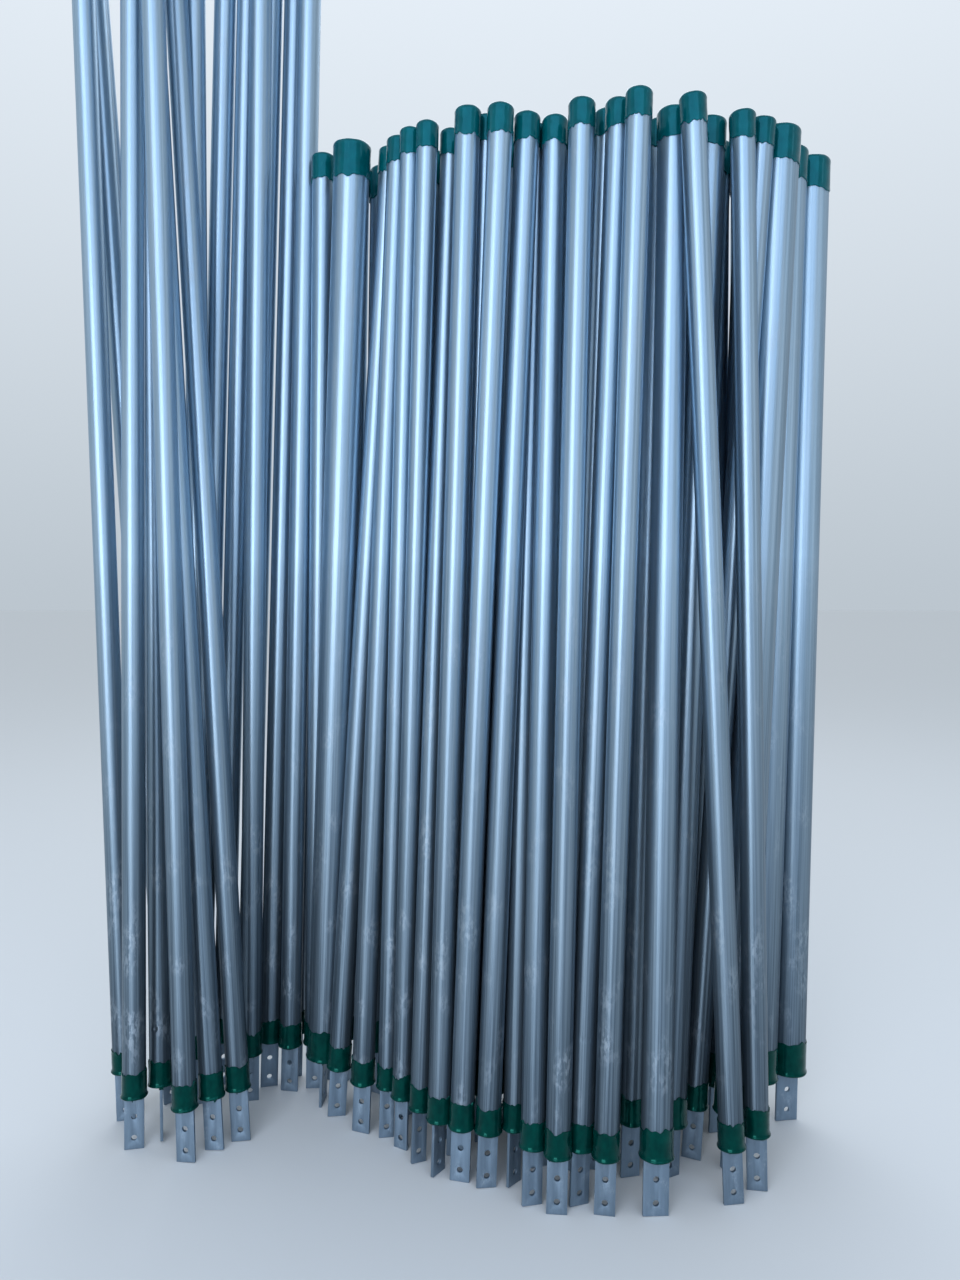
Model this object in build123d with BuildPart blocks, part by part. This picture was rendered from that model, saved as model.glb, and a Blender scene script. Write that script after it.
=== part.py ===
"""A bundle of galvanised earthing rods, standing on their terminal strips and leaning back.

Millimetres. +X runs to the right along the bundle, +Y to its back, +Z up. The origin is at floor level,
under the middle of the bundle's outline.
"""
from build123d import *

import math
import os
from dataclasses import dataclass

os.makedirs("parts", exist_ok=True)


@dataclass(frozen=True)
class Section:
    """The pipe, strip and coat sizes of one kind of rod."""
    pipe_diameter: float
    pipe_wall: float
    strip_width: float
    coat_height: float


# Kinds of rod, by their pipe
SLIM = Section(pipe_diameter=42.4, pipe_wall=2.6, strip_width=32, coat_height=50)
COMMON = Section(pipe_diameter=48.3, pipe_wall=2.9, strip_width=40, coat_height=52)
WIDE = Section(pipe_diameter=60.3, pipe_wall=2.9, strip_width=50, coat_height=58)
BIG = Section(pipe_diameter=76.1, pipe_wall=3.2, strip_width=50, coat_height=70)

SHORT_PIPE = 2000
LONG_PIPE = 3000

# Terminal strip
STRIP_THICKNESS = 6
STRIP_OUT = 112
STRIP_INSIDE = 150
HOLE_DIAMETER = 12
HOLE_FROM_END = 24
HOLE_SPACING = 45

# Dipped coats
COAT_WALL = 1.6
COAT_END = 3
COAT_SEAT = 0.1
SLOT_CLEARANCE = 0.2

# How the rods stand
TOUCH_CLEARANCE = 0.3
LEVEL_MARGIN = 1
BACK_LINE_HEIGHT = 1780
BACK_LINE_BEND = -150
BACK_LINE_SLOPE = 0.08
MOST_LEAN = math.tan(math.radians(12))
MOST_TIP = math.tan(math.radians(2))
FOOT_STEP = 2
SOLVER_STEPS = 30
PARALLEL = 1e-12


class Rod:
    """One rod: where its foot stands, how it leans, and the planes that its pieces are drawn on."""

    def __init__(self, section, pipe_length, least_lean, foot_x, foot_out, side_angle, turn):
        self.section = section
        self.pipe_length = pipe_length
        self.x = foot_x
        self.y = -foot_out
        self.side = math.tan(math.radians(side_angle))
        self.lean = self.least_lean = math.tan(math.radians(least_lean))
        self.turn = turn
        self.radius = section.pipe_diameter / 2
        self.coat_radius = self.radius + COAT_SEAT + COAT_WALL
        self.pipe_start = STRIP_OUT + COAT_END
        self.length = self.pipe_start + pipe_length + COAT_END

    def slant(self):
        """Length along the axis for each millimetre of height."""
        return math.sqrt(1 + self.side ** 2 + self.lean ** 2)

    def zones(self):
        """Height ranges of the rod with the radius that each one keeps free."""
        slant = self.slant()
        coat = self.section.coat_height
        strip_radius = math.hypot(self.section.strip_width, STRIP_THICKNESS) / 2
        low = STRIP_OUT - LEVEL_MARGIN
        foot_coat_top = self.pipe_start + coat + LEVEL_MARGIN
        head_coat_base = self.length - COAT_END - coat - LEVEL_MARGIN
        head = self.length + LEVEL_MARGIN
        stops = [0, low / slant, foot_coat_top / slant, head_coat_base / slant, head / slant]
        radii = [strip_radius, self.coat_radius, self.radius, self.coat_radius]
        return [(stops[i], stops[i + 1], radii[i] * slant) for i in range(4)]

    def gap_to(self, other):
        """Smallest level space between this rod's surface and another's."""
        dx, dy = other.x - self.x, other.y - self.y
        sx, sy = other.side - self.side, other.lean - self.lean
        square = sx * sx + sy * sy
        nearest = -(dx * sx + dy * sy) / square if square > PARALLEL else 0.0
        smallest = math.inf
        for low, high, radius in self.zones():
            for other_low, other_high, other_radius in other.zones():
                start, end = max(low, other_low), min(high, other_high)
                if start >= end:
                    continue
                level = min(max(nearest, start), end)
                apart = math.hypot(dx + sx * level, dy + sy * level)
                smallest = min(smallest, apart - radius - other_radius)
        return smallest

    def free_of(self, others):
        """True where the rod keeps its clearance to all the others."""
        return all(self.gap_to(other) >= TOUCH_CLEARANCE for other in others)

    def direction(self):
        """Direction of the axis, upwards."""
        return Vector(self.side, self.lean, 1).normalized()

    def foot_plane(self):
        """Plane across the strip's end: its x direction runs along the strip's width."""
        turn = math.radians(self.turn)
        along = Vector(math.cos(turn), math.sin(turn), 0)
        normal = self.direction()
        along = (along - normal * along.dot(normal)).normalized()
        across = normal.cross(along)
        drop = abs(along.Z) * self.section.strip_width / 2 + abs(across.Z) * STRIP_THICKNESS / 2
        foot = Vector(self.x + self.side * drop, self.y + self.lean * drop, drop)
        return Plane(origin=foot, x_dir=along, z_dir=normal)

    def plane_at(self, distance):
        """Plane across the axis, at a distance along it from the strip's end."""
        return self.foot_plane().offset(distance)

    def strip_plane(self):
        """Plane through the middle of the strip's thickness: x along its width, y up its length."""
        foot = self.foot_plane()
        return Plane(origin=foot.origin, x_dir=foot.x_dir, z_dir=-foot.y_dir)


def farthest(test, low, high):
    """Largest value between low and high that passes the test, where low does."""
    if test(high):
        return high
    for _ in range(SOLVER_STEPS):
        middle = (low + high) / 2
        if test(middle):
            low = middle
        else:
            high = middle
    return low


def stand(rod, placed):
    """Stands a rod where its foot goes and leans it back until it rests on what stands there.

    The foot moves forward where its place is taken at the least lean. The back line runs level at
    BACK_LINE_HEIGHT and comes forward by BACK_LINE_SLOPE to the right of BACK_LINE_BEND. A rod that reaches
    only the back line tips sideways until it rests on a rod.
    """
    def clear(side, y, lean):
        rod.side, rod.y, rod.lean = side, y, lean
        return rod.free_of(placed)

    side, wished_y = rod.side, rod.y
    forward = 0
    while not clear(side, wished_y - forward, rod.least_lean):
        forward += FOOT_STEP
    if forward:
        start = wished_y - forward
        forward -= farthest(lambda move: clear(side, start + move, rod.least_lean), 0, FOOT_STEP)
    y = wished_y - forward
    back_line = max(0, BACK_LINE_SLOPE * (rod.x - BACK_LINE_BEND))
    back_lean = min(MOST_LEAN, (-y - rod.radius - back_line) / BACK_LINE_HEIGHT)
    lean = farthest(lambda value: clear(side, y, value), min(rod.least_lean, back_lean), back_lean)
    clear(side, y, lean)
    if lean == back_lean:
        right = farthest(lambda tip: clear(side + tip, y, lean), 0, MOST_TIP)
        left = farthest(lambda tip: clear(side - tip, y, lean), 0, MOST_TIP)
        if min(right, left) == MOST_TIP:
            tip = 0
        else:
            tip = right if right < left else -left
        clear(side + tip, y, lean)
    placed.append(rod)
    return rod


def row(section, pipe_length, feet, least_lean=3):
    """Rods of one section from (foot x, distance out from the back line, side angle, turn) for each."""
    return [Rod(section, pipe_length, least_lean, *foot) for foot in feet]


def even_feet(count, first, step):
    """The feet of an even row: the first rod's values and what each next rod adds to them."""
    return [tuple(value + step[k] * i for k, value in enumerate(first)) for i in range(count)]


# Rods against the back line: those at the left end, the hidden back row and the big rod at the right end
left_back = row(COMMON, SHORT_PIPE, [
    (-377, 51, 1.4, -40),
    (-450, 51, 0.6, 20),
    (-321, 76, 1.4, 65),
], least_lean=0)
back_row = row(BIG, SHORT_PIPE, even_feet(11, (-249, 117, 1.5, 150), (85, 6, 0, -15)))
last_big = row(BIG, SHORT_PIPE, [(681, 230, 1.7, 10)])

# Hidden rows in front of the back row
middle_row = row(BIG, SHORT_PIPE, even_feet(10, (607, 262, 1.5, 35), (-85, -6, 0, -20)))
inner_row = row(BIG, SHORT_PIPE, even_feet(6, (352, 329, 1.5, -60), (-85, -6, 0, 20)))

# Second row, whose heads show between those of the front row
second_row = (
    row(BIG, SHORT_PIPE, [(516, 392, 2.6, 25)])
    + row(COMMON, SHORT_PIPE, [
        (440, 367, 3.3, -20),
        (303, 426, 1.5, 15),
        (234, 402, 1.4, 0),
        (175, 399, 2.0, -35),
        (120, 395, 1.7, 20),
        (67, 450, 1.3, 50),
        (-51, 356, 1.8, -10),
    ], least_lean=2)
)

# Left end, where the rods stand nearly upright
left_end = (
    row(COMMON, SHORT_PIPE, [(-391, 98, 1.4, 5)], least_lean=0)
    + row(BIG, SHORT_PIPE, [(-362, 148, 2.5, 85)], least_lean=0)
    + row(COMMON, SHORT_PIPE, [
        (-322, 204, 3.6, 12),
        (-260, 275, 2.5, -18),
    ], least_lean=2)
)

# Front row, from left to right
front_left = (
    row(SLIM, SHORT_PIPE, [
        (-203, 293, 1.7, 10),
        (-168, 332, 1.7, -30),
        (-128, 380, 1.9, 25),
    ], least_lean=1.6)
    + row(COMMON, SHORT_PIPE, [
        (-86, 415, 1.7, 55),
        (-41, 440, 2.2, -12),
        (12, 460, 2.2, 8),
    ], least_lean=2.3)
)
front_middle = (
    row(COMMON, SHORT_PIPE, [
        (100, 512, 1.3, 15),
        (191, 512, 2.0, 22),
        (237, 540, 1.6, -8),
    ])
    + row(COMMON, SHORT_PIPE, [(146, 505, 1.3, -4)], least_lean=4.7)
)
front_right = (
    row(WIDE, SHORT_PIPE, [(381, 430, 2.1, 30), (334, 542, 1.1, 4)])
    + row(COMMON, SHORT_PIPE, [(549, 468, -1.0, -10), (492, 509, -2.5, 6)])
)

# Long rods at the left
long_back = row(COMMON, LONG_PIPE, [
    (-448, 112, 1.8, -6),
    (-500, 93, 1.2, 18),
    (-555, 87, 0.9, -15),
    (-611, 87, 0.4, 30),
    (-663, 95, 0.6, 30),
    (-704, 99, -5.3, 0),
    (-531, 153, 1.2, 12),
    (-708, 158, -3.2, 40),
    (-640, 165, 0.1, 30),
], least_lean=1)
long_front = row(COMMON, LONG_PIPE, [
    (-788, 184, -1.4, 10),
    (-513, 307, -3.5, 4),
    (-561, 339, -3.4, -5),
    (-686, 300, -1.9, 109),
    (-733, 334, 0.0, 12),
    (-609, 379, -1.6, -8),
])

ROWS = {
    "left_back": left_back,
    "back_row": back_row,
    "middle_row": middle_row,
    "last_big": last_big,
    "inner_row": inner_row,
    "second_row": second_row,
    "long_back": long_back,
    "left_end": left_end,
    "front_left": front_left,
    "front_middle": front_middle,
    "front_right": front_right,
    "long_front": long_front,
}

standing = []
for rods in ROWS.values():
    for rod in rods:
        stand(rod, standing)


def outline_middle(rods, place, slope):
    """Middle of the bundle's outline along one level direction."""
    ends = [(place(rod) + slope(rod) * height, rod) for rod in rods
            for height in (0, rod.length / rod.slant())]
    low = min(value - rod.coat_radius for value, rod in ends)
    high = max(value + rod.coat_radius for value, rod in ends)
    return (low + high) / 2


middle_x = outline_middle(standing, lambda rod: rod.x, lambda rod: rod.side)
middle_y = outline_middle(standing, lambda rod: rod.y, lambda rod: rod.lean)
for rod in standing:
    rod.x -= middle_x
    rod.y -= middle_y


def make_pipes(name, rods):
    """Galvanised pipes of one row."""
    with BuildPart() as pipes:
        for rod in rods:
            with BuildSketch(rod.plane_at(rod.pipe_start)):
                Circle(rod.radius)
                Circle(rod.radius - rod.section.pipe_wall, mode=Mode.SUBTRACT)
            extrude(amount=rod.pipe_length, clean=False)
    pipes.part.label = name
    export_step(pipes.part, f"parts/{name}.step")


def make_strips(name, rods):
    """Terminal strips of one row, each with two holes in the part that stands out."""
    with BuildPart() as strips:
        for rod in rods:
            with BuildSketch(rod.foot_plane()):
                Rectangle(rod.section.strip_width, STRIP_THICKNESS)
            extrude(amount=rod.pipe_start + STRIP_INSIDE, clean=False)
            with BuildSketch(rod.strip_plane()):
                with Locations((0, HOLE_FROM_END), (0, HOLE_FROM_END + HOLE_SPACING)):
                    Circle(HOLE_DIAMETER / 2)
            extrude(amount=STRIP_THICKNESS, both=True, mode=Mode.SUBTRACT, clean=False)
    strips.part.label = name
    export_step(strips.part, f"parts/{name}.step")


def make_head_coats(name, rods):
    """Closed caps over the upper pipe ends of one row."""
    with BuildPart() as coats:
        for rod in rods:
            base = rod.plane_at(rod.length - COAT_END - rod.section.coat_height)
            with BuildSketch(base):
                Circle(rod.coat_radius)
            extrude(amount=rod.section.coat_height + COAT_END, clean=False)
            with BuildSketch(base):
                Circle(rod.radius + COAT_SEAT)
            extrude(amount=rod.section.coat_height, mode=Mode.SUBTRACT, clean=False)
    coats.part.label = name
    export_step(coats.part, f"parts/{name}.step")


def make_foot_coats(name, rods):
    """Caps over the lower pipe ends of one row, slotted for the strips."""
    with BuildPart() as coats:
        for rod in rods:
            with BuildSketch(rod.plane_at(STRIP_OUT)):
                Circle(rod.coat_radius)
                Rectangle(
                    rod.section.strip_width + 2 * SLOT_CLEARANCE,
                    STRIP_THICKNESS + 2 * SLOT_CLEARANCE,
                    mode=Mode.SUBTRACT,
                )
            extrude(amount=COAT_END + rod.section.coat_height, clean=False)
            with BuildSketch(rod.plane_at(rod.pipe_start)):
                Circle(rod.radius + COAT_SEAT)
            extrude(amount=rod.section.coat_height, mode=Mode.SUBTRACT, clean=False)
    coats.part.label = name
    export_step(coats.part, f"parts/{name}.step")


for row_name, rods in ROWS.items():
    make_pipes(f"{row_name}_pipes", rods)
    make_strips(f"{row_name}_strips", rods)
    make_head_coats(f"{row_name}_head_coats", rods)
    make_foot_coats(f"{row_name}_foot_coats", rods)
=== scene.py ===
"""The looks of a bundle of galvanised earthing rods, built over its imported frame.

Each rod is a galvanised pipe with a flat terminal strip at its foot, and both pipe ends are dipped in
thick green enamel. Lengths in the dataclasses are millimetres. Blender's own units are metres.
"""

import logging
import math
from dataclasses import dataclass
from enum import Enum, IntEnum
from typing import Callable

import bmesh
import bpy
from mathutils import Matrix, Vector, noise


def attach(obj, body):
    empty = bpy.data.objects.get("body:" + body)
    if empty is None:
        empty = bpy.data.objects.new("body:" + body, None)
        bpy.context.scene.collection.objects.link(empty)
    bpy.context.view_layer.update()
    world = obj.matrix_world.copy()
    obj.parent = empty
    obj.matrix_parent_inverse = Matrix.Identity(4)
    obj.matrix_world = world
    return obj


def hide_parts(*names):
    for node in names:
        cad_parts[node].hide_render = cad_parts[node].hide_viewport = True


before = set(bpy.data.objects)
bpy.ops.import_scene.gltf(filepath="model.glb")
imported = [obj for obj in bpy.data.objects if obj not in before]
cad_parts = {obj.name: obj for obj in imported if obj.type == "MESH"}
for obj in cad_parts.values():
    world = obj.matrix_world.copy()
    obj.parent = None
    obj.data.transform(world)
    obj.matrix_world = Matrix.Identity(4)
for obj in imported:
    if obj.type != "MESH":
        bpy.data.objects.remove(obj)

MM = 0.001
BODY = "root"
SURFACE = "rod_surface"
NUMBER = "rod_number"
NUMBER_STEP = 1.37
# Points closer than this are one: metres in the frame's meshes, millimetres in a turned shape
FRAME_WELD = 1e-6
TURNED_WELD = 0.005
# Edges that turn more than these degrees are shaded sharp, and those of a strip are worn round
SHARP_ANGLE = 38
WORN_ANGLE = 40
# The outer skin of a coat starts this far outside its inner wall, in millimetres
SKIN = 0.2
# The rounded rim of a coat: how far each point stands out from the wall, and how far back from the end
RIM = ((0.3, 2.2), (0.2, 0.8), (-0.7, 0.0))
# How far back from a coat's end its inner wall starts
RIM_INNER = 0.3
# How quickly a coat's sag grows towards its rim
SAG_POWER = 1.5
# How much brighter than the darkest rod the brightest one can be
OWN_SPREAD = 0.2

Span = tuple[float, float]
Spot = tuple[float, float, float]
Colour = tuple[float, float, float, float]
Socket = bpy.types.NodeSocket
Shape = bmesh.types.BMesh
Points = list[Vector]

log = logging.getLogger("rods")


class Row(Enum):
    """The rows of the bundle, by the first part of their nodes' names."""

    LEFT_BACK = "left_back"
    BACK = "back_row"
    LAST_BIG = "last_big"
    MIDDLE = "middle_row"
    INNER = "inner_row"
    SECOND = "second_row"
    LONG_BACK = "long_back"
    LEFT_END = "left_end"
    FRONT_LEFT = "front_left"
    FRONT_MIDDLE = "front_middle"
    FRONT_RIGHT = "front_right"
    LONG_FRONT = "long_front"


class Draw(IntEnum):
    """What is added to a coat's own number to set its patterns apart."""

    CROWN = 8
    HANG = 20
    TEETH = 40
    RUN_SIZE = 70
    RUN_PLACE = 90
    NOTCH_SIZE = 110
    NOTCH_PLACE = 130


def linear(colour: str) -> Colour:
    """Turns an sRGB hex colour into linear values.

    Args:
        colour: Six hex digits.

    Returns:
        Red, green, blue and an alpha of 1.
    """
    parts = [int(colour[i:i + 2], 16) / 255 for i in (0, 2, 4)]
    lit = [c / 12.92 if c <= 0.04045 else ((c + 0.055) / 1.055) ** 2.4 for c in parts]
    return (*lit, 1.0)


def add_node(material: bpy.types.ID, kind: str, inputs: dict | None = None,
             **settings: object) -> bpy.types.Node:
    """Adds a shader node.

    Args:
        material: The material or world whose tree gets the node.
        kind: The node's type.
        inputs: Value or output socket for each input, by the input's name or number.
        settings: The node's own properties.

    Returns:
        The new node.
    """
    tree = material.node_tree
    node = tree.nodes.new(kind)
    for name, value in settings.items():
        setattr(node, name, value)
    for key, value in (inputs or {}).items():
        if isinstance(value, Socket):
            tree.links.new(value, node.inputs[key])
        else:
            node.inputs[key].default_value = value
    return node


def set_ramp(node: bpy.types.Node, stops: list[tuple[float, Colour]]) -> None:
    """Sets a colour ramp's stops.

    Args:
        node: The ramp node.
        stops: Position and colour for each stop.
    """
    elements = node.color_ramp.elements
    while len(elements) < len(stops):
        elements.new(1.0)
    for element, (position, colour) in zip(elements, stops):
        element.position = position
        element.color = colour


def surface_pattern(material: bpy.types.ID, across: float, along: float, detail: float = 2.0,
                    shift: float = 0.0) -> Socket:
    """Noise that follows the rod, with its grain given as real sizes.

    Args:
        material: The material.
        across: Size of the grain round the rod, in millimetres.
        along: Size of the grain along the rod, in millimetres.
        detail: Octaves of finer noise.
        shift: Offset that sets one pattern apart from another.

    Returns:
        The noise value's socket, from 0 to 1.
    """
    place = add_node(material, "ShaderNodeAttribute", attribute_name=SURFACE)
    scaled = add_node(material, "ShaderNodeMapping", {
        "Vector": place.outputs["Vector"],
        "Location": (shift, shift, shift),
        "Scale": (1 / (across * MM), 1 / (across * MM), 1 / (along * MM)),
    })
    grain = add_node(material, "ShaderNodeTexNoise", {
        "Vector": scaled.outputs["Vector"], "Scale": 1.0, "Detail": detail, "Roughness": 0.55,
    })
    return grain.outputs["Fac"]


def between(material: bpy.types.ID, value: Socket, low: float, high: float,
            low_out: float = 0.0, high_out: float = 1.0) -> Socket:
    """Maps a value's range to another, without going past its ends.

    Args:
        material: The material.
        value: The value to map.
        low: Value that gives low_out.
        high: Value that gives high_out.
        low_out: Result at low.
        high_out: Result at high.

    Returns:
        The mapped value's socket.
    """
    node = add_node(material, "ShaderNodeMapRange", {
        "Value": value, "From Min": low, "From Max": high, "To Min": low_out, "To Max": high_out,
    }, clamp=True)
    return node.outputs["Result"]


def combined(material: bpy.types.ID, operation: str, first: Socket | float,
             second: Socket | float, third: float = 0.0) -> Socket:
    """The result of one sum on two or three values.

    Args:
        material: The material.
        operation: The math node's operation.
        first: Its first value.
        second: Its second value.
        third: Its third value, for a sum that has one.

    Returns:
        The result's socket.
    """
    inputs = {0: first, 1: second, 2: third}
    return add_node(material, "ShaderNodeMath", inputs, operation=operation).outputs[0]


def mixed(material: bpy.types.ID, share: Socket | float, first: Socket | Colour,
          second: Socket | Colour) -> Socket:
    """Mixes two colours.

    Args:
        material: The material.
        share: How much of the second colour shows.
        first: The first colour, as a value or a socket.
        second: The second colour, as a value or a socket.

    Returns:
        The mixed colour's socket.
    """
    node = add_node(material, "ShaderNodeMix", {0: share, 6: first, 7: second}, data_type="RGBA")
    return node.outputs[2]


def new_material(name: str) -> tuple[bpy.types.Material, bpy.types.Node]:
    """Makes a material.

    Args:
        name: The material's name.

    Returns:
        The material and its Principled shader.
    """
    material = bpy.data.materials.new(name)
    material.use_nodes = True
    shader = next(node for node in material.node_tree.nodes if node.type == "BSDF_PRINCIPLED")
    return material, shader


def own_value(material: bpy.types.ID) -> Socket:
    """A random value that is the same all over one rod.

    Args:
        material: The material.

    Returns:
        The value's socket, from 0 to 1.
    """
    number = add_node(material, "ShaderNodeAttribute", attribute_name=NUMBER).outputs["Fac"]
    own = add_node(material, "ShaderNodeTexWhiteNoise", {"W": number}, noise_dimensions="1D")
    return own.outputs["Value"]


def toned(material: bpy.types.ID, colour: Socket, own: Socket,
          darkest: float) -> Socket:
    """Gives each rod a brightness of its own.

    Args:
        material: The material.
        colour: The colour.
        own: The rod's own value.
        darkest: Brightness of the darkest rod.

    Returns:
        The toned colour's socket.
    """
    value = combined(material, "MULTIPLY_ADD", own, OWN_SPREAD, darkest)
    return add_node(material, "ShaderNodeHueSaturation", {"Color": colour, "Value": value}).outputs["Color"]


def add_relief(material: bpy.types.ID, shader: bpy.types.Node, height: Socket,
               strength: float, depth: float) -> None:
    """Embosses a surface.

    Args:
        material: The material.
        shader: The material's shader.
        height: The relief, from low to high.
        strength: How strongly it shows.
        depth: How deep it is, in millimetres.
    """
    bump = add_node(material, "ShaderNodeBump", {
        "Height": height, "Strength": strength, "Distance": depth * MM,
    })
    material.node_tree.links.new(bump.outputs["Normal"], shader.inputs["Normal"])


@dataclass(frozen=True)
class GalvanisedSteel:
    """Hot-dip galvanised steel: zinc with a satin sheen, streaks and stains, darkened towards its foot by
    painted shade on a pipe and by dirt on a strip.
    """

    name: str
    sky_tinted_zinc: str
    sky_tinted_dull_zinc: str
    stain: str
    shade_and_dirt_colour: str
    bare_metal: float
    roughness: float
    drawn: float
    streak_width: float
    streak_length: float
    streak_share: float
    stain_size: float
    stain_share: float
    shade_and_dirt_height: float
    shade_and_dirt_share: float
    bump_depth: float
    full_shade_and_dirt_height: float = 100.0
    patch_range: Span = (0.56, 0.76)
    drop_range: Span = (0.44, 0.6)
    shade_and_dirt_streaks: Span = (0.34, 0.6)
    darkest: float = 0.85
    roughness_spread: float = 0.05
    stain_roughness: float = 0.3
    foot_roughness: float = 0.05
    bump_strength: float = 0.45

    def make(self) -> bpy.types.Material:
        """Builds the material.

        Returns:
            The material.
        """
        material, shader = new_material(self.name)
        links = material.node_tree.links
        shader.inputs["Anisotropic"].default_value = self.drawn
        upright = add_node(material, "ShaderNodeCombineXYZ", {"Z": 1.0}).outputs["Vector"]
        links.new(upright, shader.inputs["Tangent"])
        own = own_value(material)
        place = add_node(material, "ShaderNodeAttribute", attribute_name=SURFACE).outputs["Vector"]
        height = add_node(material, "ShaderNodeSeparateXYZ", {"Vector": place}).outputs["Z"]
        low = between(material, height, self.full_shade_and_dirt_height * MM, self.shade_and_dirt_height * MM, 1.0, 0.0)

        streaks = surface_pattern(material, self.streak_width, self.streak_length, 2.0)
        patches = surface_pattern(material, self.stain_size, self.stain_size * 1.7, 1.0, 3.1)
        drops = surface_pattern(material, self.stain_size * 0.1, self.stain_size * 0.26, 2.0, 11.3)

        tone = between(material, streaks, 0.5 - self.streak_share, 0.5 + self.streak_share)
        # Both zinc colours carry a painted blue tint, a reflection of a blue sky
        colour = mixed(material, tone, linear(self.sky_tinted_dull_zinc), linear(self.sky_tinted_zinc))
        stained = combined(
            material, "MULTIPLY", between(material, patches, *self.patch_range, 0.0, self.stain_share),
            between(material, drops, *self.drop_range, 0.05, 1.0))
        stained = combined(material, "MULTIPLY", stained, between(material, low, 0.0, 0.6, 0.7, 1.0))
        # Darkening towards the foot: on a pipe it is painted shade, the dark ground that the lower pipe would
        # reflect; on a strip it is dirt. It also lowers the metallic
        shade_and_dirt_mask = combined(
            material, "MULTIPLY", combined(material, "POWER", low, 0.7),
            between(material, streaks, *self.shade_and_dirt_streaks, self.shade_and_dirt_share, self.shade_and_dirt_share * 0.78))
        colour = mixed(material, shade_and_dirt_mask, colour, linear(self.shade_and_dirt_colour))
        colour = mixed(material, stained, colour, linear(self.stain))
        links.new(toned(material, colour, own, self.darkest), shader.inputs["Base Color"])

        bare = between(material, shade_and_dirt_mask, 0.0, 1.0, self.bare_metal, self.bare_metal - 0.2)
        links.new(bare, shader.inputs["Metallic"])
        smoothest, roughest = self.roughness - self.roughness_spread, self.roughness + self.roughness_spread
        rough = between(material, streaks, 0.3, 0.7, smoothest, roughest)
        for cause, share in ((stained, self.stain_roughness), (low, self.foot_roughness)):
            rough = combined(material, "ADD", rough, combined(material, "MULTIPLY", cause, share))
        rough = combined(material, "ADD", rough, between(material, own, 0.0, 1.0, -0.03, 0.05))
        links.new(rough, shader.inputs["Roughness"])

        relief = combined(material, "ADD", streaks, combined(material, "MULTIPLY", drops, 0.25))
        add_relief(material, shader, relief, self.bump_strength, self.bump_depth)
        return material


@dataclass(frozen=True)
class DippedEnamel:
    """Thick green enamel from a dip: a deep colour under a wet gloss, with sags and small craters."""

    name: str
    green: str
    thin_green: str
    dust: str
    sky_sheen: str
    roughness: float
    specular_level: float
    sag_size: float
    crater_size: float
    bump_depth: float
    ior: float = 1.48
    dust_range: Span = (0.62, 0.8)
    dust_share: float = 0.16
    dust_roughness: float = 0.5
    crater_range: Span = (0.68, 0.78)
    crater_depth: float = 0.2
    darkest: float = 0.88
    bump_strength: float = 0.7

    def make(self) -> bpy.types.Material:
        """Builds the material.

        Returns:
            The material.
        """
        material, shader = new_material(self.name)
        links = material.node_tree.links
        shader.inputs["Metallic"].default_value = 0.0
        shader.inputs["IOR"].default_value = self.ior
        shader.inputs["Specular IOR Level"].default_value = self.specular_level
        # The specular tint is a painted sky colour in the gloss's reflections
        shader.inputs["Specular Tint"].default_value = linear(self.sky_sheen)
        own = own_value(material)
        sags = surface_pattern(material, self.sag_size, self.sag_size * 1.6, 1.0)
        craters = surface_pattern(material, self.crater_size, self.crater_size, 0.0, 5.3)
        dust = surface_pattern(material, self.sag_size * 0.7, self.sag_size * 0.9, 3.0, 9.1)
        tone = between(material, sags, 0.3, 0.7)
        colour = mixed(material, tone, linear(self.green), linear(self.thin_green))
        dusty = between(material, dust, *self.dust_range, 0.0, self.dust_share)
        colour = mixed(material, dusty, colour, linear(self.dust))
        links.new(toned(material, colour, own, self.darkest), shader.inputs["Base Color"])
        rough = combined(material, "MULTIPLY_ADD", dusty, self.dust_roughness, self.roughness)
        links.new(rough, shader.inputs["Roughness"])
        pits = between(material, craters, *self.crater_range, 0.0, -self.crater_depth)
        relief = combined(material, "ADD", sags, pits)
        add_relief(material, shader, relief, self.bump_strength, self.bump_depth)
        return material


# Galvanised pipe: the zinc is wiped smooth along the pipe, so its streaks run that way and its
# highlights stretch with them. A thin oxide skin makes it partly matt. Low down its colour darkens as
# painted shade, for the dark ground that it would reflect there, and it is less metallic there too
# Its zinc colours are grey with a painted blue tint, a reflection of a blue sky
PIPE_FINISH = GalvanisedSteel(
    name="galvanised_pipe", sky_tinted_zinc="bbd2e3", sky_tinted_dull_zinc="9ab6cb", stain="ccdae6", shade_and_dirt_colour="3d4b57",
    bare_metal=0.93, roughness=0.44, drawn=0.8, streak_width=3.6, streak_length=420, streak_share=0.24,
    stain_size=60, stain_share=0.4, shade_and_dirt_height=1250, shade_and_dirt_share=1.0, bump_depth=0.3)
# Galvanised flat bar: a duller and rougher zinc, drawn lengthways
# Its zinc colours are grey with a painted blue tint, a reflection of a blue sky
STRIP_FINISH = GalvanisedSteel(
    name="galvanised_strip", sky_tinted_zinc="8ea4b8", sky_tinted_dull_zinc="73899d", stain="bccbd8", shade_and_dirt_colour="5f6d79",
    bare_metal=0.85, roughness=0.5, drawn=0.3, streak_width=4, streak_length=60, streak_share=0.5,
    stain_size=22, stain_share=0.4, shade_and_dirt_height=120, shade_and_dirt_share=0.3, bump_depth=0.25)
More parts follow.
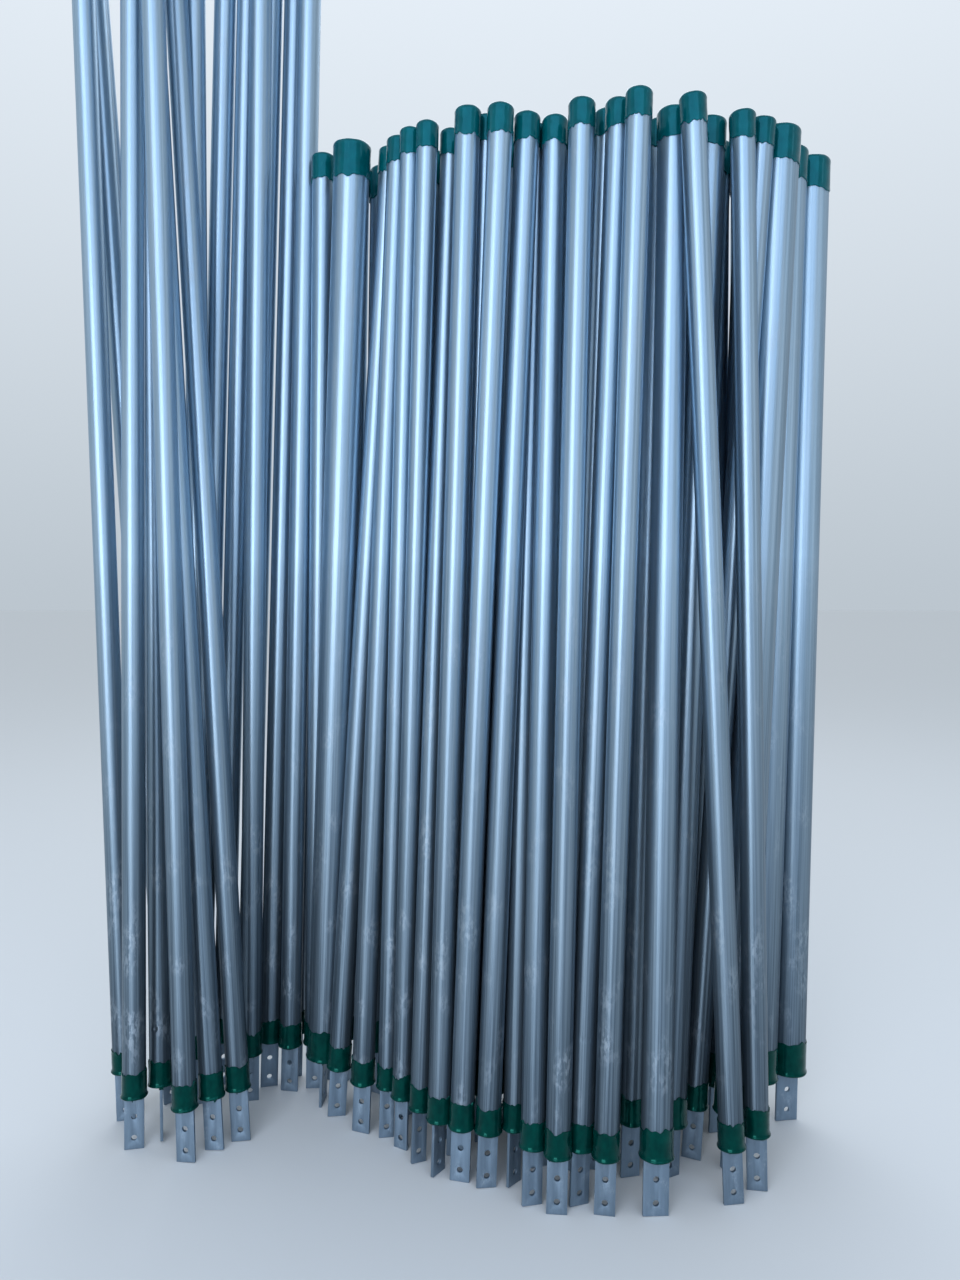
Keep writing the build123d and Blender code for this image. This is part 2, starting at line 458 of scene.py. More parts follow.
# Dipped enamel: thick, so it sags before it sets and shines as if wet. Caps and feet are one enamel: the
# caps' lighter, bluer green is a painted reflection of the sky, and the feet's darker green is painted shade
# near the ground. Its gloss is tinted blue-green, a painted sky colour in its reflections
CAP_FINISH = DippedEnamel(
    name="green_enamel_cap", green="00464c", thin_green="005258", dust="146068", sky_sheen="60cee2",
    roughness=0.12, specular_level=0.6, sag_size=16, crater_size=4.5, bump_depth=0.32)
FOOT_FINISH = DippedEnamel(
    name="green_enamel_foot", green="002624", thin_green="00342f", dust="13504a", sky_sheen="58d8c4",
    roughness=0.1, specular_level=0.46, sag_size=13, crater_size=4.5, bump_depth=0.4)


@dataclass(frozen=True)
class RodPlace:
    """Where one rod of the frame stands, with the sizes that its pieces follow."""

    number: int
    foot: Vector
    axis: Vector
    width_direction: Vector
    pipe_radius: float
    pipe_start: float
    pipe_length: float

    def matrix(self) -> Matrix:
        """Turns the rod's own frame, with x along the strip's width and z up the rod, into the object's.

        Returns:
            The matrix, from millimetres to metres.
        """
        across = self.axis.cross(self.width_direction)
        turned = Matrix((self.width_direction, across, self.axis)).transposed().to_4x4()
        return Matrix.Translation(self.foot) @ turned @ Matrix.Scale(MM, 4)


def loose_parts(node: str) -> list[Points]:
    """The vertices of each solid of a CAD node.

    Args:
        node: The node's name.

    Returns:
        A list of vertices for each solid.
    """
    copy = bmesh.new()
    copy.from_mesh(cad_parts[node].data)
    bmesh.ops.remove_doubles(copy, verts=copy.verts, dist=FRAME_WELD)
    parts, seen = [], set()
    for start in copy.verts:
        if start in seen:
            continue
        seen.add(start)
        found, waiting = [], [start]
        while waiting:
            vertex = waiting.pop()
            found.append(vertex.co.copy())
            for edge in vertex.link_edges:
                other = edge.other_vert(vertex)
                if other not in seen:
                    seen.add(other)
                    waiting.append(other)
        parts.append(found)
    copy.free()
    return parts


def middle_of(points: Points) -> Vector:
    """The mean of some points.

    Args:
        points: The points.

    Returns:
        Their mean.
    """
    return sum(points, Vector()) / len(points)


def nearest(parts: list[Points], point: Vector) -> Points:
    """The solid whose middle is nearest to a point.

    Args:
        parts: The vertices of each solid.
        point: The point.

    Returns:
        The vertices of the nearest solid.
    """
    return min(parts, key=lambda found: (middle_of(found) - point).length)


def read_pipe(points: Points) -> tuple[Vector, Vector, float]:
    """Reads a pipe's place from its two end rings.

    Args:
        points: The pipe's vertices.

    Returns:
        The middles of its lower and upper end, and its outer radius.
    """
    level = middle_of(points).z
    low = middle_of([p for p in points if p.z < level])
    high = middle_of([p for p in points if p.z >= level])
    axis = (high - low).normalized()
    radius = max(((p - low) - axis * (p - low).dot(axis)).length for p in points)
    return low, high, radius


def read_row(row: Row, first_number: int) -> list[RodPlace]:
    """Reads the places of a row's rods from the frame's pipes and strips.

    Args:
        row: The row.
        first_number: Number of its first rod.

    Returns:
        The rods' places.
    """
    strips = loose_parts(f"{row.value}_strips")
    places = []
    for points in loose_parts(f"{row.value}_pipes"):
        low, high, radius = read_pipe(points)
        axis = (high - low).normalized()
        strip = nearest(strips, low)
        start = min((p - low).dot(axis) for p in strip)
        foot = low + axis * start
        side = axis.orthogonal().normalized()
        across = axis.cross(side)
        flat = [((p - foot).dot(side), (p - foot).dot(across)) for p in strip]
        spread = math.atan2(2 * sum(u * v for u, v in flat), sum(u * u - v * v for u, v in flat)) / 2
        width_direction = side * math.cos(spread) + across * math.sin(spread)
        places.append(RodPlace(
            first_number + len(places), foot, axis, width_direction, radius / MM, -start / MM,
            (high - low).length / MM))
    return places


def turned(profile: list[Span], steps: int, closed: bool) -> Shape:
    """Turns a profile round the rod's axis.

    Args:
        profile: Radius and height of each point.
        steps: Faces round the axis.
        closed: True where the profile's last point joins its first.

    Returns:
        The turned mesh, in millimetres.
    """
    shape = bmesh.new()
    points = [shape.verts.new((radius, 0, height)) for radius, height in profile]
    edges = [shape.edges.new(pair) for pair in zip(points, points[1:])]
    if closed:
        edges.append(shape.edges.new((points[-1], points[0])))
    bmesh.ops.spin(
        shape, geom=points + edges, cent=(0, 0, 0), axis=(0, 0, 1), dvec=(0, 0, 0),
        angle=math.tau, steps=steps, use_merge=True, use_duplicate=False)
    bmesh.ops.remove_doubles(shape, verts=shape.verts, dist=TURNED_WELD)
    return shape


def spaced(low: float, high: float, spacing: float) -> list[float]:
    """Even levels from low to high.

    Args:
        low: First level.
        high: Last level.
        spacing: Most that two neighbours are apart.

    Returns:
        The levels.
    """
    count = math.ceil((high - low) / spacing)
    return [low + (high - low) * i / count for i in range(count + 1)]


def ripple(angle: float, cycles: float, seed: float) -> float:
    """Smooth noise round the rod, which meets itself after a turn.

    Args:
        angle: Angle round the rod.
        cycles: About how many waves there are in a turn.
        seed: Number that sets one line apart from another.

    Returns:
        A value from -1 to 1.
    """
    reach = cycles / 3
    return noise.noise(Vector((math.cos(angle) * reach, math.sin(angle) * reach, seed * 5.17))) * 1.6


@dataclass(frozen=True)
class DippedEdge:
    """The uneven line where a dip ended: slow waves, pointed teeth, a few notches and a few runs."""

    wave: float = 2.6
    tooth: float = 1.5
    notch_depth: float = 5.0
    notch_width: float = 0.34
    notches: int = 2
    run_length: float = 6.0
    run_width: float = 0.16
    runs: int = 2

    def rise(self, angle: float, seed: float) -> float:
        """How far the edge leaves its mean line.

        Args:
            angle: Angle round the rod.
            seed: The coat's own number.

        Returns:
            Millimetres away from the coat's closed end.
        """
        reach = self.wave * ripple(angle, 3, seed)
        reach += self.tooth * (1 - 3.4 * abs(ripple(angle, 8, seed + Draw.TEETH)))
        for notch in range(self.notches):
            apart = self.apart(angle, notch, seed + Draw.NOTCH_PLACE)
            size = 0.3 + 0.7 * abs(ripple(notch * 1.3, 5, seed + Draw.NOTCH_SIZE))
            reach -= self.notch_depth * size * max(0.0, 1 - apart / self.notch_width)
        for run in range(self.runs):
            apart = self.apart(angle, run, seed + Draw.RUN_PLACE)
            size = 0.35 + 0.65 * abs(ripple(run, 5, seed + Draw.RUN_SIZE))
            reach += self.run_length * size * math.exp(-(apart / self.run_width) ** 2)
        return reach

    @staticmethod
    def apart(angle: float, mark: int, seed: float) -> float:
        """The angle between a point and the place of one notch or run.

        Args:
            angle: Angle round the rod.
            mark: Which notch or run it is.
            seed: The coat's own number for such marks.

        Returns:
            The angle, without its sign.
        """
        place = math.tau * (0.5 + 0.5 * ripple(mark * 2.1, 2, seed + mark))
        return abs((angle - place + math.pi) % math.tau - math.pi)


def swell(vertex: bmesh.types.BMVert, angle: float, radius: float, depth: float, grain: float,
          seed: float) -> None:
    """Thickens or thins a coat's skin in slow lumps.

    Args:
        vertex: The point.
        angle: Its angle round the rod.
        radius: Its distance from the axis.
        depth: How far the lumps reach, in millimetres.
        grain: How closely they follow one another up the rod.
        seed: The coat's own number.
    """
    spot = Vector((math.cos(angle) * 1.6, math.sin(angle) * 1.6, vertex.co.z * grain + seed))
    grown = 1 + depth * noise.noise(spot) / radius
    vertex.co.x *= grown
    vertex.co.y *= grown


@dataclass(frozen=True)
class Dent:
    """A dimple in a pipe: the row and rod that have it, and where and how large it is."""

    row: Row
    rod: int
    height: float
    facing: float
    radius: float
    depth: float
    flatness: float = 1.0


DENTS = (
    Dent(Row.LONG_FRONT, 2, height=236, facing=-100, radius=8, depth=2.6),
    Dent(Row.FRONT_MIDDLE, 2, height=330, facing=-84, radius=9, depth=0.8, flatness=2.6),
    Dent(Row.FRONT_RIGHT, 1, height=560, facing=-70, radius=7, depth=0.9),
    Dent(Row.SECOND, 0, height=980, facing=-95, radius=8, depth=1.0),
)


@dataclass(frozen=True)
class Pipe:
    """A galvanised pipe with deburred ends.

    A leaning pipe of long thin faces is slow to trace, so rings divide its outside and its bore.
    """

    wall: float = 2.9
    end_chamfer: float = 0.5
    steps: int = 64
    ring_spacing: float = 110.0
    bore_ring_spacing: float = 330.0
    dent_spacing: float = 2.4

    def build(self, place: RodPlace, dents: list[Dent]) -> Shape:
        """Builds one pipe.

        Args:
            place: The rod's place.
            dents: The pipe's dimples.

        Returns:
            The mesh in the rod's own frame.
        """
        outside, inside = place.pipe_radius, place.pipe_radius - self.wall
        low, high = place.pipe_start, place.pipe_start + place.pipe_length
        levels = spaced(low + self.end_chamfer, high - self.end_chamfer, self.ring_spacing)
        for dent in dents:
            levels += spaced(dent.height - dent.radius, dent.height + dent.radius, self.dent_spacing)
        profile = [(outside, level) for level in sorted(levels)]
        profile = [(outside - self.end_chamfer, low)] + profile + [(outside - self.end_chamfer, high)]
        profile += [(inside, level) for level in reversed(spaced(low, high, self.bore_ring_spacing))]
        shape = turned(profile, self.steps, closed=True)
        for dent in dents:
            self.press(shape, place, dent)
        return shape

    def press(self, shape: Shape, place: RodPlace, dent: Dent) -> None:
        """Presses one dimple into the pipe's outside.

        Args:
            shape: The pipe's mesh.
            place: The rod's place.
            dent: The dimple.
        """
        world = Vector((math.cos(math.radians(dent.facing)), math.sin(math.radians(dent.facing)), 0))
        local = place.matrix().to_3x3().inverted() @ world
        facing = math.atan2(local.y, local.x)
        for vertex in shape.verts:
            radius = math.hypot(vertex.co.x, vertex.co.y)
            if radius < place.pipe_radius - 0.01:
                continue
            turn = (math.atan2(vertex.co.y, vertex.co.x) - facing + math.pi) % math.tau - math.pi
            apart = math.hypot(turn * radius / dent.flatness, vertex.co.z - dent.height) / dent.radius
            if apart < 1:
                pressed = 1 - dent.depth * (1 - apart * apart) ** 2 / radius
                vertex.co.x *= pressed
                vertex.co.y *= pressed


@dataclass(frozen=True)
class HeadCoat:
    """The closed green cap on a pipe's upper end: a low dome, a round shoulder and an uneven lower edge."""

    wall: float = 1.6
    seat: float = 0.1
    end: float = 3.0
    round_off: float = 6.8
    rings: int = 11
    steps: int = 64
    edge: DippedEdge = DippedEdge(wave=2.6, tooth=1.7, notch_depth=8.0, run_length=7.0)
    dome: tuple[Span, ...] = ((0.0, 1.3), (0.4, 1.1), (0.75, 0.6))
    shoulder_turns: tuple[int, ...] = (90, 75, 60, 45, 30, 15)
    shoulder_ridge: float = 0.3
    shoulder_drop: float = 1.0
    rim_height: float = 4.0
    seed_step: float = 3.71
    sag_start: float = 0.12
    rim_share: float = 0.9
    crown_share: float = 0.05
    crown_lump: float = 0.7
    lump_depth: float = 0.45
    lump_grain: float = 0.09

    def build(self, place: RodPlace, height: float) -> Shape:
        """Builds one cap.

        Args:
            place: The rod's place.
            height: The coat's height on the pipe.

        Returns:
            The mesh in the rod's own frame.
        """
        pipe_end = place.pipe_start + place.pipe_length
        top, base = pipe_end + self.end, pipe_end - height
        inside, outside = place.pipe_radius + self.seat, place.pipe_radius + self.seat + self.wall
        corner = outside - self.round_off, top - self.round_off
        profile = [(corner[0] * share, top + rise) for share, rise in self.dome]
        for turn in self.shoulder_turns:
            across, up = math.cos(math.radians(turn)), math.sin(math.radians(turn))
            profile.append((corner[0] + self.round_off * across, corner[1] + self.round_off * up))
        skirt = corner[1] - self.shoulder_drop
        profile.append((outside + self.shoulder_ridge, skirt))
        for ring in range(1, self.rings + 1):
            profile.append((outside, skirt - (skirt - base - self.rim_height) * (ring / self.rings)))
        profile += [(outside + beyond, base + back) for beyond, back in RIM]
        profile += [(inside, base + RIM_INNER), (inside, pipe_end), (0, pipe_end)]
        shape = turned(profile, self.steps, closed=False)
        for vertex in shape.verts:
            self.sag(vertex, place, top, base, inside)
        bmesh.ops.recalc_face_normals(shape, faces=shape.faces)
        return shape

    def sag(self, vertex: bmesh.types.BMVert, place: RodPlace, top: float, base: float,
            inside: float) -> None:
        """Moves one point of the cap as the wet enamel ran.

        Args:
            vertex: The point.
            place: The rod's place.
            top: Height of the cap's top.
            base: Height of its lower edge.
            inside: Radius of its inner wall.
        """
        angle, radius = math.atan2(vertex.co.y, vertex.co.x), math.hypot(vertex.co.x, vertex.co.y)
        seed = place.number * self.seed_step
        down = (top - vertex.co.z) / (top - base)
        if down > self.sag_start and (radius > inside + SKIN or down > self.rim_share):
            share = ((down - self.sag_start) / (1 - self.sag_start)) ** SAG_POWER
            vertex.co.z -= self.edge.rise(angle, seed) * share
        if radius > inside + SKIN:
            swell(vertex, angle, radius, self.lump_depth, self.lump_grain, seed)
        if down < self.crown_share:
            spot = Vector((vertex.co.x * 0.06, vertex.co.y * 0.06, seed + Draw.CROWN))
            vertex.co.z += self.crown_lump * noise.noise(spot)


@dataclass(frozen=True)
class FootCoat:
    """The green coat on a pipe's lower end: it closes round the strip and hangs in a thick bead."""

    wall: float = 1.6
    seat: float = 0.1
    strip_thickness: float = 6.0
    slot_clearance: float = 0.2
    collar: float = 4.5
    rings: int = 11
    steps: int = 64
    edge: DippedEdge = DippedEdge(wave=3.2, tooth=1.5, notch_depth=7.0, notch_width=0.5, run_length=6.0)
    bead: float = 2.3
    hang: float = 1.5
    strip_run: float = 9.0
    bead_profile: tuple[Span, ...] = (
        (0.6, 1.0), (0.95, 2.2), (1.0, 3.4), (0.74, 4.8), (0.34, 6.2))
    bead_height: float = 7.0
    bead_fade: float = 0.12
    rim_height: float = 4.0
    first_seed: float = 400
    seed_step: float = 2.93
    sag_start: float = 0.3
    rim_share: float = 0.9
    hang_share: float = 0.12
    lump_depth: float = 0.55
    lump_grain: float = 0.08
    hub_gap: float = 0.8
    hub_reach: float = 1.5
    collar_rings: tuple[Span, ...] = ((0.0, 0.0), (0.0, 1.0), (1.5, 0.85), (2.4, 0.25))

    def build(self, place: RodPlace, height: float, strip_width: float, strip_out: float) -> Shape:
        """Builds one coat.

        Args:
            place: The rod's place.
            height: The coat's height on the pipe.
            strip_width: Width of the terminal strip.
            strip_out: How far the strip stands out of the coat.

        Returns:
            The mesh in the rod's own frame.
        """
        seed = place.number * self.seed_step + self.first_seed
        inside, outside = place.pipe_radius + self.seat, place.pipe_radius + self.seat + self.wall
        half_width = strip_width / 2 + self.slot_clearance
        half_thickness = self.strip_thickness / 2 + self.slot_clearance
        hub = math.hypot(half_width, half_thickness) + self.hub_gap
        low, top = strip_out, place.pipe_start + height
        # The underside runs from the hub to the wall, and dips a little between them
        profile = [(hub, low), (max(hub + 0.4, outside - 2.6), low - 0.2), (outside - 0.8, low + 0.2)]
        profile += [(outside + self.bead * share, low + level) for share, level in self.bead_profile]
        skirt = top - low - (self.bead_height + self.rim_height)
        for ring in range(1, self.rings + 1):
            share = ring / self.rings
            beyond = self.bead * self.bead_fade * (1 - share) ** 2
            profile.append((outside + beyond, low + self.bead_height + skirt * share))
        profile += [(outside + beyond, top - back) for beyond, back in RIM]
        profile += [(inside, top - RIM_INNER), (inside, place.pipe_start)]
        shape = turned(profile, self.steps, closed=False)
        for vertex in shape.verts:
            self.sag(vertex, place, low, top, inside, seed)
        self.close_round_strip(shape, place, half_width, half_thickness, low, seed)
        bmesh.ops.recalc_face_normals(shape, faces=shape.faces)
        return shape

    def sag(self, vertex: bmesh.types.BMVert, place: RodPlace, low: float, top: float, inside: float,
            seed: float) -> None:
        """Moves one point of the coat as the wet enamel ran.

        Args:
            vertex: The point.
            place: The rod's place; not used.
            low: Height of the coat's lower end.
            top: Height of its upper edge.
            inside: Radius of its inner wall.
            seed: The coat's own number.
        """
        angle, radius = math.atan2(vertex.co.y, vertex.co.x), math.hypot(vertex.co.x, vertex.co.y)
        up = (vertex.co.z - low) / (top - low)
        if up > self.sag_start and (radius > inside + SKIN or up > self.rim_share):
            share = ((up - self.sag_start) / (1 - self.sag_start)) ** SAG_POWER
            vertex.co.z += self.edge.rise(angle, seed) * share
        if radius > inside + SKIN:
            swell(vertex, angle, radius, self.lump_depth, self.lump_grain, seed)
        if up < self.hang_share and radius > inside - 1.5:
            hang = 0.35 + ripple(angle, 4, seed + Draw.HANG)
            vertex.co.z -= self.hang * max(0.0, hang) * (1 - up / self.hang_share)

    def close_round_strip(self, shape: Shape, place: RodPlace, half_width: float,
                          half_thickness: float, low: float, seed: float) -> None:
        """Closes the coat's end round the strip, with a collar that runs a little down it.

        Args:
            shape: The coat's mesh, open at its hub and at its inner wall.
            place: The rod's place.
            half_width: Half the slot's width.
            half_thickness: Half the slot's thickness.
            low: Height of the coat's lower end.
            seed: The coat's own number.
        """
        open_edges = [edge for edge in shape.edges if edge.is_boundary]
        ring = [e for e in open_edges if e.verts[0].co.z > low + self.hub_reach]
        hub_ring = [e for e in open_edges if e.verts[0].co.z <= low + self.hub_reach]
        for grow, share in self.collar_rings:
            made = bmesh.ops.extrude_edge_only(shape, edges=ring)["geom"]
            ring = [part for part in made if isinstance(part, bmesh.types.BMEdge) and part.is_boundary]
            for vertex in {vertex for edge in ring for vertex in edge.verts}:
                angle = math.atan2(vertex.co.y, vertex.co.x)
                wide, thick = half_width + grow, half_thickness + grow
                scale = min(
                    wide / max(abs(math.cos(angle)), 1e-6), thick / max(abs(math.sin(angle)), 1e-6))
                x, y = scale * math.cos(angle), scale * math.sin(angle)
                corner = wide - 0.28 * thick
                if grow == 0.0 and abs(x) > corner:
                    x = math.copysign(wide, x)
                side = math.copysign(3, y)
                run = self.collar * (1 + 0.8 * noise.noise(Vector((x * 0.12, side, seed))))
                run_x = half_width * 1.5 * noise.noise(Vector((side, seed * 1.9, 0.5)))
                run += self.strip_run * max(0.0, 1 - abs(x - run_x) / 3.4)
                level = place.pipe_start if share == 0.0 else low - run * share
                vertex.co = (x, y, level)
        bmesh.ops.bridge_loops(shape, edges=ring + hub_ring)


@dataclass(frozen=True)
class TerminalStrip:
    """The flat bar at a rod's foot, with its two drilled holes and lightly worn edges."""

    edge_radius: float = 0.5
    flat_angle: float = math.radians(1)

    def build(self, node: str) -> Shape:
        """Builds a row's strips from the frame's own solids, with their edges worn round.

        Args:
            node: The strips' node.

        Returns:
            The mesh in the object's frame, in metres.
        """
        shape = bmesh.new()
        shape.from_mesh(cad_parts[node].data)
        bmesh.ops.remove_doubles(shape, verts=shape.verts, dist=FRAME_WELD)
        bmesh.ops.dissolve_limit(
            shape, angle_limit=self.flat_angle, verts=shape.verts, edges=shape.edges,
            use_dissolve_boundaries=False)
        sharp = [edge for edge in shape.edges if edge.calc_face_angle(0) > math.radians(WORN_ANGLE)]
        bmesh.ops.bevel(
            shape, geom=sharp, offset=self.edge_radius * MM, offset_type="OFFSET", segments=2,
            profile=0.5, affect="EDGES", clamp_overlap=True, material=-1)
        bmesh.ops.triangulate(shape, faces=[face for face in shape.faces if len(face.verts) > 4])
        return shape


def add_marks(shape: Shape) -> tuple[bmesh.types.BMLayerItem, bmesh.types.BMLayerItem]:
    """Adds the attributes that tell each point's place along its rod and its rod's number.

    Args:
        shape: The mesh that gets them.

    Returns:
        The layers of the place and of the number.
    """
    return shape.verts.layers.float_vector.new(SURFACE), shape.verts.layers.float.new(NUMBER)


@dataclass(frozen=True)
class RowMaker:
    """Builds and dresses the pipes, strips and coats of one row."""

    row: Row
    places: list[RodPlace]
    pipe: Pipe = Pipe()
    head_coat: HeadCoat = HeadCoat()
    foot_coat: FootCoat = FootCoat()
    strip: TerminalStrip = TerminalStrip()

    def gather(self, name: str, build: Callable[[int, RodPlace], Shape]) -> bpy.types.Object:
        """Joins one piece of each rod into an object, with its place along the rod as an attribute.

        Args:
            name: The object's name.
            build: Makes the piece of one rod in the rod's own frame.

        Returns:
            The object.
        """
        whole = bmesh.new()
        add_marks(whole)
        scratch = bpy.data.meshes.new("scratch")
        for index, place in enumerate(self.places):
            shape = build(index, place)
            mark, count = add_marks(shape)
            offset = Vector((place.number * NUMBER_STEP, 0, 0))
            for vertex in shape.verts:
                vertex[mark] = vertex.co * MM + offset
                vertex[count] = place.number
            bmesh.ops.transform(shape, matrix=place.matrix(), verts=shape.verts)
            shape.to_mesh(scratch)
            shape.free()
            whole.from_mesh(scratch)
        bpy.data.meshes.remove(scratch)
        return finish_piece(name, whole)

    def coat_height(self, node: str, place: RodPlace, head: bool) -> float:
        """Reads a coat's height on its pipe from the frame.

        Args:
            node: The coats' node.
            place: The rod's place.
            head: True for the coat at the upper end.

        Returns:
            Millimetres of pipe that the coat covers.
        """
        end = place.pipe_start + (place.pipe_length if head else 0)
        middle = place.foot + place.axis * end * MM
        coat = nearest(loose_parts(node), middle)
        reach = [(p - middle).dot(place.axis) / MM for p in coat]
        return -min(reach) if head else max(reach)

    def make_pipes(self, finish: bpy.types.Material) -> bpy.types.Object:
        """Makes the row's pipes.

        Args:
            finish: Their material.

        Returns:
            The object.
        """
        dents = {i: [d for d in DENTS if d.row is self.row and d.rod == i] for i in range(len(self.places))}
        piece = self.gather(f"{self.row.value}_galvanised_pipes", lambda i, p: self.pipe.build(p, dents[i]))
        return dress(piece, finish, f"{self.row.value}_pipes")

    def make_head_coats(self, finish: bpy.types.Material) -> bpy.types.Object:
        """Makes the row's upper coats.

        Args:
            finish: Their material.

        Returns:
            The object.
        """
        node = f"{self.row.value}_head_coats"
        piece = self.gather(
            f"{self.row.value}_green_caps",
            lambda i, p: self.head_coat.build(p, self.coat_height(node, p, True)))
        return dress(piece, finish, node)

    def make_foot_coats(self, finish: bpy.types.Material) -> bpy.types.Object:
        """Makes the row's lower coats.

        Args:
            finish: Their material.

        Returns:
            The object.
        """
        node = f"{self.row.value}_foot_coats"
        out = self.strip_out()
        widths = [self.strip_width(p) for p in self.places]
        piece = self.gather(
            f"{self.row.value}_green_feet",
            lambda i, p: self.foot_coat.build(p, self.coat_height(node, p, False), widths[i], out))
        return dress(piece, finish, node)

    def strip_width(self, place: RodPlace) -> float:
        """Reads the width of a rod's strip from the frame.

        Args:
            place: The rod's place.

        Returns:
            The width in millimetres.
        """
        strip = min(
            loose_parts(f"{self.row.value}_strips"),
            key=lambda found: abs((middle_of(found) - place.foot).dot(place.width_direction))
            + (middle_of(found) - place.foot).length)
        reach = [(p - place.foot).dot(place.width_direction) for p in strip]
        return (max(reach) - min(reach)) / MM

    def strip_out(self) -> float:
        """Reads how far the strips stand out of the coats.

        Returns:
            The distance in millimetres.
        """
        place = self.places[0]
        coat = nearest(loose_parts(f"{self.row.value}_foot_coats"), place.foot)
        return min((p - place.foot).dot(place.axis) for p in coat) / MM

    def make_strips(self, finish: bpy.types.Material) -> bpy.types.Object:
        """Makes the row's terminal strips.

        Args:
            finish: Their material.

        Returns:
            The object.
        """
        node = f"{self.row.value}_strips"
        shape = self.strip.build(node)
        mark, count = add_marks(shape)
        inverses = [place.matrix().inverted() for place in self.places]
        for vertex in shape.verts:
            seen_by = [inverse @ vertex.co for inverse in inverses]
            index = min(range(len(seen_by)), key=lambda i: math.hypot(seen_by[i].x, seen_by[i].y))
            vertex[mark] = seen_by[index] * MM + Vector((self.places[index].number * NUMBER_STEP, 0, 0))
            vertex[count] = self.places[index].number
        piece = finish_piece(f"{self.row.value}_terminal_strips", shape)
        return dress(piece, finish, node)


def in_scene(name: str, data: bpy.types.ID) -> bpy.types.Object:
    """Puts an object into the scene.

    Args:
        name: The object's name.
        data: Its mesh, lamp or camera.

    Returns:
        The object.
    """
    made = bpy.data.objects.new(name, data)
    bpy.context.scene.collection.objects.link(made)
    return made


def finish_piece(name: str, shape: Shape) -> bpy.types.Object:
    """Makes an object of a finished mesh.

    Args:
        name: The object's name.
        shape: Its mesh, in metres, which is freed.

    Returns:
        The object.
    """
    mesh = bpy.data.meshes.new(name)
    shape.to_mesh(mesh)
    shape.free()
    mesh.shade_smooth()
    mesh.set_sharp_from_angle(angle=math.radians(SHARP_ANGLE))
    return in_scene(name, mesh)


def dress(piece: bpy.types.Object, finish: bpy.types.Material, node: str) -> bpy.types.Object:
    """Gives a piece its finish and its place in the frame.

    Args:
        piece: The piece.
        finish: Its material.
        node: The CAD node that it stands for.

    Returns:
        The piece.
    """
    piece.data.materials.append(finish)
    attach(piece, BODY)
    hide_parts(node)
    log.info("%s: %d faces", piece.name, len(piece.data.polygons))
    return piece


@dataclass(frozen=True)
class Lamp:
    """A soft lamp: where it hangs and what it faces in metres, its width and height, and its watts."""

    name: str
    place: Spot
    aim: Spot
    size: Span
    power: float
    colour: str


# A wide lamp high in front, a tall key lamp at the front left with a low one before it for the feet, a
# small one for the enamel's highlights, a narrow fill at the right and one above the back
LAMPS = (
    Lamp("sky", place=(-0.3, -4.6, 4.4), aim=(0, 0, 1.6), size=(7.0, 2.8), power=122, colour="c8deff"),
    Lamp("key", place=(-1.7, -4.4, 1.6), aim=(0, 0, 1.4), size=(2.6, 2.8), power=29, colour="f0f6ff"),
    Lamp("low key", place=(-1.7, -4.2, 0.8), aim=(0, 0, 0.8), size=(2.0, 1.4), power=46, colour="f4f8ff"),
    Lamp("spark", place=(-0.9, -3.4, 3.0), aim=(0, 0, 1.0), size=(0.3, 0.3), power=2.6, colour="ffffff"),
    Lamp("fill", place=(4.6, -2.4, 2.6), aim=(0, 0, 1.0), size=(0.6, 3.6), power=9, colour="e6f2ff"),
    Lamp("over", place=(0.5, 2.8, 4.8), aim=(0, 0, 1.2), size=(4.0, 2.0), power=60, colour="eaf3ff"),
)
# The studio sky from straight down to straight up
SKY = ((0.0, "8d9399"), (0.49, "bdc7d0"), (0.53, "c3cdd6"), (0.75, "e6eff8"))


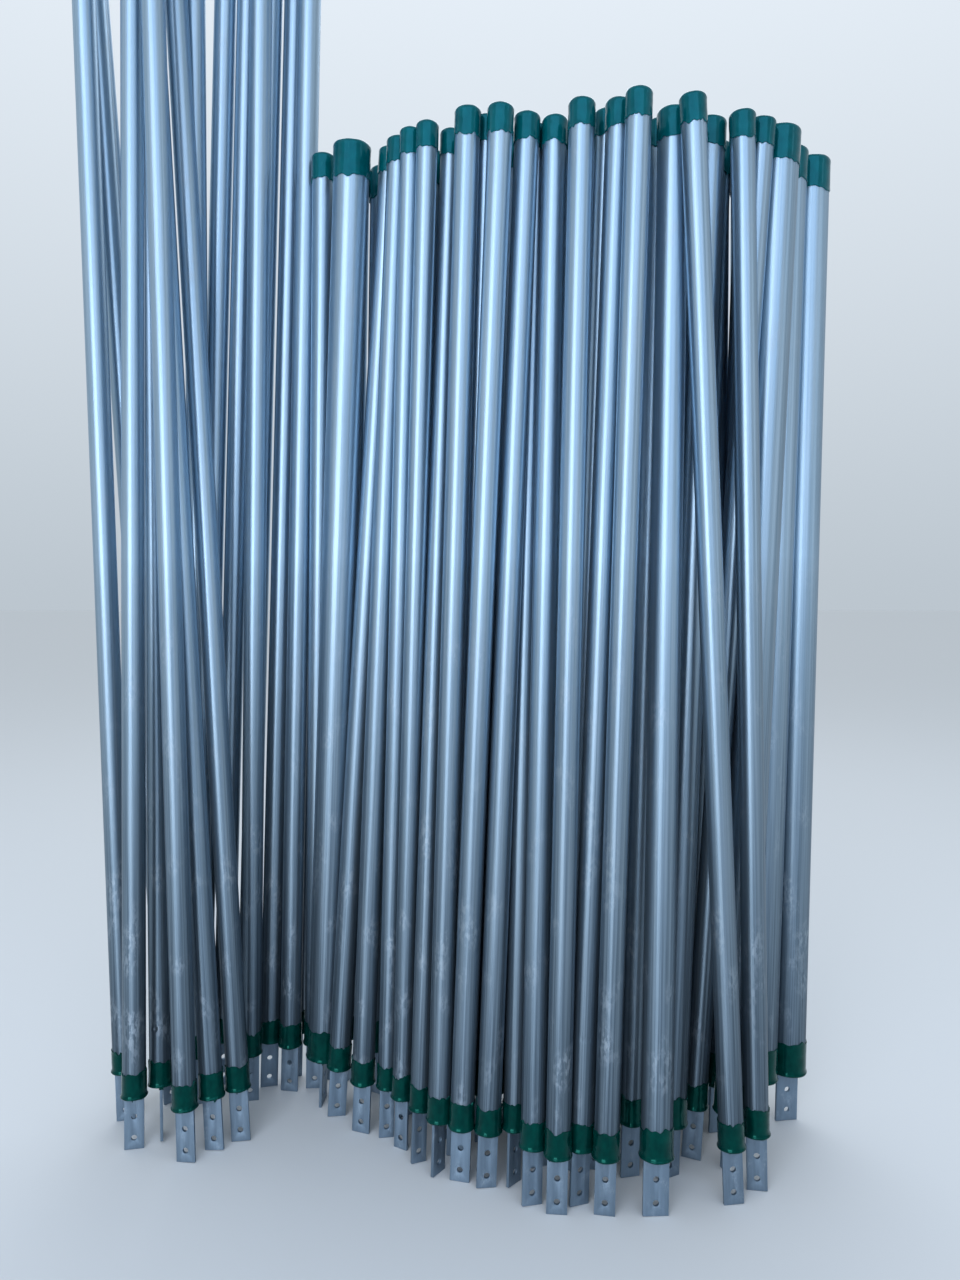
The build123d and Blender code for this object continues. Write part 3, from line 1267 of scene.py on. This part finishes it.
@dataclass(frozen=True)
class Studio:
    """The floor, the light and the camera."""

    camera_place: Spot = (0.0786, -2.0846, 1.252)
    camera_down: float = 5.0
    camera_focus: float = 961.0
    image_height: float = 1280.0
    sensor_width: float = 36.0
    floor_size: float = 40.0
    floor_colour: str = "d2d4d5"
    floor_roughness: float = 0.9

    def make_floor(self) -> None:
        """Lays the plain pale floor."""
        shape = bmesh.new()
        bmesh.ops.create_grid(shape, x_segments=1, y_segments=1, size=self.floor_size / 2)
        mesh = bpy.data.meshes.new("floor")
        shape.to_mesh(mesh)
        shape.free()
        floor = in_scene("floor", mesh)
        material, shader = new_material("matt_floor")
        shader.inputs["Base Color"].default_value = linear(self.floor_colour)
        shader.inputs["Roughness"].default_value = self.floor_roughness
        mesh.materials.append(material)

    def make_world(self) -> None:
        """Surrounds the object with a soft studio sky: bright above, and low down a little darker in front
        and at the sides, so the pipes show a light and a dark side.
        """
        world = bpy.data.worlds.new("studio")
        world.use_nodes = True
        bpy.context.scene.world = world
        background = next(node for node in world.node_tree.nodes if node.type == "BACKGROUND")
        direction = add_node(world, "ShaderNodeTexCoord").outputs["Generated"]
        parts = add_node(world, "ShaderNodeSeparateXYZ", {"Vector": direction})
        ramp = add_node(world, "ShaderNodeValToRGB", {"Fac": between(world, parts.outputs["Z"], -1.0, 1.0)})
        set_ramp(ramp, [(position, linear(colour)) for position, colour in SKY])
        world.node_tree.links.new(ramp.outputs["Color"], background.inputs["Color"])
        above = between(world, parts.outputs["Z"], 0.08, 0.34)
        right = between(world, parts.outputs["X"], 0.46, 0.78, 0.0, 0.64)
        left = between(world, parts.outputs["X"], -0.9, -0.55, 0.34, 0.0)
        front = between(world, parts.outputs["Y"], -0.5, 0.1, 0.2, 0.0)
        shade = combined(world, "MAXIMUM", combined(world, "MAXIMUM", right, left), front)
        shade = combined(world, "MULTIPLY", shade, between(world, above, 0.0, 1.0, 1.0, 0.25))
        strength = combined(world, "SUBTRACT", 1.0, shade)
        world.node_tree.links.new(strength, background.inputs["Strength"])

    def make_light(self) -> None:
        """Hangs the lamps."""
        for lamp in LAMPS:
            data = bpy.data.lights.new(lamp.name, "AREA")
            data.shape = "RECTANGLE"
            data.size, data.size_y = lamp.size
            data.energy = lamp.power
            data.color = linear(lamp.colour)[:3]
            holder = in_scene(lamp.name, data)
            holder.location = lamp.place
            facing = Vector(lamp.aim) - Vector(lamp.place)
            holder.rotation_euler = facing.to_track_quat("-Z", "Y").to_euler()

    def make_camera(self) -> None:
        """Sets the camera at the photograph's viewpoint."""
        data = bpy.data.cameras.new("camera")
        data.sensor_width = self.sensor_width
        data.lens = self.camera_focus / self.image_height * self.sensor_width
        camera = in_scene("camera", data)
        camera.location = self.camera_place
        camera.rotation_euler = (math.radians(90 - self.camera_down), 0, 0)
        bpy.context.scene.camera = camera


def main() -> None:
    """Builds the rows in order, then the studio."""
    logging.basicConfig(level=logging.INFO, format="%(name)s %(message)s")
    bpy.context.scene.view_settings.view_transform = "Standard"
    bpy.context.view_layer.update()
    pipe_finish, strip_finish = PIPE_FINISH.make(), STRIP_FINISH.make()
    cap_finish, foot_finish = CAP_FINISH.make(), FOOT_FINISH.make()
    number = 1
    for row in Row:
        maker = RowMaker(row, read_row(row, number))
        maker.make_pipes(pipe_finish)
        maker.make_strips(strip_finish)
        maker.make_head_coats(cap_finish)
        maker.make_foot_coats(foot_finish)
        number += len(maker.places)
    studio = Studio()
    studio.make_floor()
    studio.make_world()
    studio.make_light()
    studio.make_camera()


if __name__ == "__main__":
    main()
